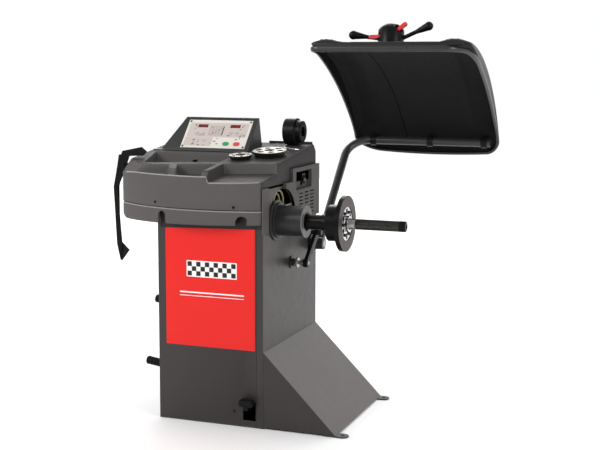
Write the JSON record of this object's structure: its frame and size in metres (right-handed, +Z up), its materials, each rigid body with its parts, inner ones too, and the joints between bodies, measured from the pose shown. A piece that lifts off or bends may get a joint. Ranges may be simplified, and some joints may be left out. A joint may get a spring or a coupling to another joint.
{
  "type": "wheel balancer",
  "caption": "Free-standing wheel balancer with a weight tray, tilted control console, horizontal threaded spindle, distance gauge, foot brake and a swinging wheel guard.",
  "frame": {"origin": "on the floor, under the centre of the column", "axes": "+X along the spindle towards its free end, +Y to the back of the machine, +Z up"},
  "size_m": [1.397, 1.0186, 1.523],
  "materials": {
    "frame_paint": "fine satin powder coat",
    "floor_paint": "satin paint, scuffed",
    "panel_red": "printed satin film",
    "casing": "fine moulded grain",
    "console": "fine moulded grain",
    "keypad": "printed matt film",
    "key_green": "domed film",
    "key_red": "domed film",
    "board": "coated board",
    "black_plastic": "fine grain",
    "hood_plastic": "smooth vacuum-formed sheet",
    "black_metal": "satin black",
    "steel": "ground",
    "chrome": "polished",
    "black_steel": "black oxide",
    "rubber": "ribbed",
    "brass": "plain",
    "motor_case": "cast",
    "flange_paint": "turned and darkened",
    "cone_metal": "turned, worn",
    "lever_red": "smooth",
    "cable": "smooth sheath",
    "guide_plastic": "smooth"
  },
  "bodies": {
    "stand": {"base_plate": "floor_paint", "front_panel": "frame_paint", "right_panel": "frame_paint", "rear_panel": "frame_paint", "wedge_plinth": "frame_paint", "floor_lugs": "floor_paint", "red_panel": "panel_red", "weight_tray": "casing", "front_apron": "casing", "side_cover": "casing", "console_housing": "console", "keypad_panel": "keypad", "display_board": "board", "power_board": "board", "mains_inlet": "black_plastic", "switch_bezel": "black_plastic", "storage_pegs": "rubber", "caliper_hook": "black_metal", "spindle_housing": "casing", "housing_collar": "casing", "housing_end_cap": "steel", "spindle_bearings": "steel", "support_frame": "frame_paint", "piezo_sensors": "brass", "motor": "motor_case", "drive_belt": "rubber", "brake_bracket": "frame_paint", "gauge_guide": "guide_plastic", "guard_bearing": "black_metal", "cable_loop": "cable", "casing_screws": "black_steel"},
    "spindle": {"spindle_shaft": "steel", "spindle_lock_nut": "black_steel", "spindle_pulley": "motor_case", "flange_hub": "black_steel", "wheel_flange": "flange_paint", "hub_insert": "chrome", "flange_screws": "black_steel"},
    "motor_rotor": {"motor_pulley": "steel"},
    "pedal": {"brake_pedal": "black_metal", "pedal_pad": "rubber"},
    "brake": {"brake_rod": "steel"},
    "gauge_slider": {"gauge_rod": "steel"},
    "gauge_lever": {"gauge_arm": "black_metal", "gauge_tip": "guide_plastic"},
    "guard": {"guard_shaft": "steel", "guard_tube": "black_metal", "guard_hood": "hood_plastic", "guard_clips": "black_metal"},
    "clamp_nut": {"quick_nut": "black_metal"},
    "left_lever": {"nut_lever_left": "lever_red"},
    "right_lever": {"nut_lever_right": "lever_red"},
    "cone_small": {"small_cone": "cone_metal"},
    "cone_large": {"large_cone": "cone_metal"},
    "cup": {"pressure_cup": "black_plastic"},
    "caliper": {"caliper_head": "black_metal"},
    "caliper_leg": {"caliper_arm": "black_metal"},
    "start_button": {"start_key": "key_green"},
    "stop_button": {"stop_key": "key_red"},
    "mains_switch": {"switch_rocker": "black_plastic"}
  },
  "joints": [
    {"name": "spindle_spin", "type": "hinge", "parent": "stand", "child": "spindle", "pos_m": [0.3, -0.155, 0.776], "axis": [1, 0, 0], "continuous": true},
    {"name": "motor_spin", "type": "hinge", "parent": "stand", "child": "motor_rotor", "pos_m": [0.02, -0.155, 0.56], "axis": [1, 0, 0], "continuous": true},
    {"name": "brake_pedal_tilt", "type": "hinge", "parent": "stand", "child": "pedal", "pos_m": [0.16, -0.205, 0.096], "axis": [1, 0, 0], "range_deg": [0, 8.8], "stiffness_Nm_per_rad": 8, "springref_deg": -20.05},
    {"name": "brake_rod_lift", "type": "slide", "parent": "stand", "child": "brake", "axis": [0, 0, 1], "range_m": [0, 0.00768]},
    {"name": "gauge_pull", "type": "slide", "parent": "stand", "child": "gauge_slider", "axis": [1, 0, 0], "range_m": [0, 0.25]},
    {"name": "gauge_turn", "type": "hinge", "parent": "gauge_slider", "child": "gauge_lever", "pos_m": [0.279, 0.002, 0.591], "axis": [1, 0, 0], "range_deg": [-60, 30]},
    {"name": "guard_swing", "type": "hinge", "parent": "stand", "child": "guard", "pos_m": [0.252, 0.225, 0.636], "axis": [1, 0, 0], "range_deg": [0, 50]},
    {"name": "clamp_nut_lift", "type": "slide", "parent": "guard", "child": "clamp_nut", "axis": [0, 0.1805, 0.9836], "range_m": [0, 0.15]},
    {"name": "left_lever_press", "type": "hinge", "parent": "clamp_nut", "child": "left_lever", "pos_m": [0.537, 0.10953, 1.46572], "axis": [0, -0.9836, 0.1805], "range_deg": [0, 14], "stiffness_Nm_per_rad": 0.4, "springref_deg": -11.46},
    {"name": "right_lever_press", "type": "hinge", "parent": "clamp_nut", "child": "right_lever", "pos_m": [0.605, 0.11386, 1.48932], "axis": [0, 0.9836, -0.1805], "range_deg": [0, 14], "stiffness_Nm_per_rad": 0.4, "springref_deg": -11.46},
    {"name": "small_cone_lift", "type": "slide", "parent": "stand", "child": "cone_small", "axis": [0, -0.1219, 0.9925], "range_m": [0, 0.1]},
    {"name": "large_cone_lift", "type": "slide", "parent": "stand", "child": "cone_large", "axis": [0, -0.1219, 0.9925], "range_m": [0, 0.1]},
    {"name": "pressure_cup_lift", "type": "slide", "parent": "stand", "child": "cup", "axis": [0, -0.1219, 0.9925], "range_m": [0, 0.1]},
    {"name": "caliper_unhook", "type": "slide", "parent": "stand", "child": "caliper", "axis": [0, -1, 0], "range_m": [0, 0.03]},
    {"name": "caliper_open", "type": "hinge", "parent": "caliper", "child": "caliper_leg", "pos_m": [-0.461, -0.118, 0.985], "axis": [0, 1, 0], "range_deg": [0, 25]},
    {"name": "start_key_press", "type": "slide", "parent": "stand", "child": "start_button", "axis": [0, 0.7361, -0.6769], "range_m": [0, 0.001], "stiffness_N_per_m": 1500, "springref_m": -0.0006},
    {"name": "stop_key_press", "type": "slide", "parent": "stand", "child": "stop_button", "axis": [0, 0.7361, -0.6769], "range_m": [0, 0.001], "stiffness_N_per_m": 1500, "springref_m": -0.0006},
    {"name": "mains_switch_rock", "type": "hinge", "parent": "stand", "child": "mains_switch", "pos_m": [0.214, 0.137, 0.905], "axis": [0, 1, 0], "range_deg": [-8, 8]}
  ],
  "couplings": [
    {"joint": "motor_spin", "follows": "spindle_spin", "ratio": 2.5},
    {"joint": "brake_rod_lift", "follows": "brake_pedal_tilt", "m_per_rad": 0.05}
  ]
}
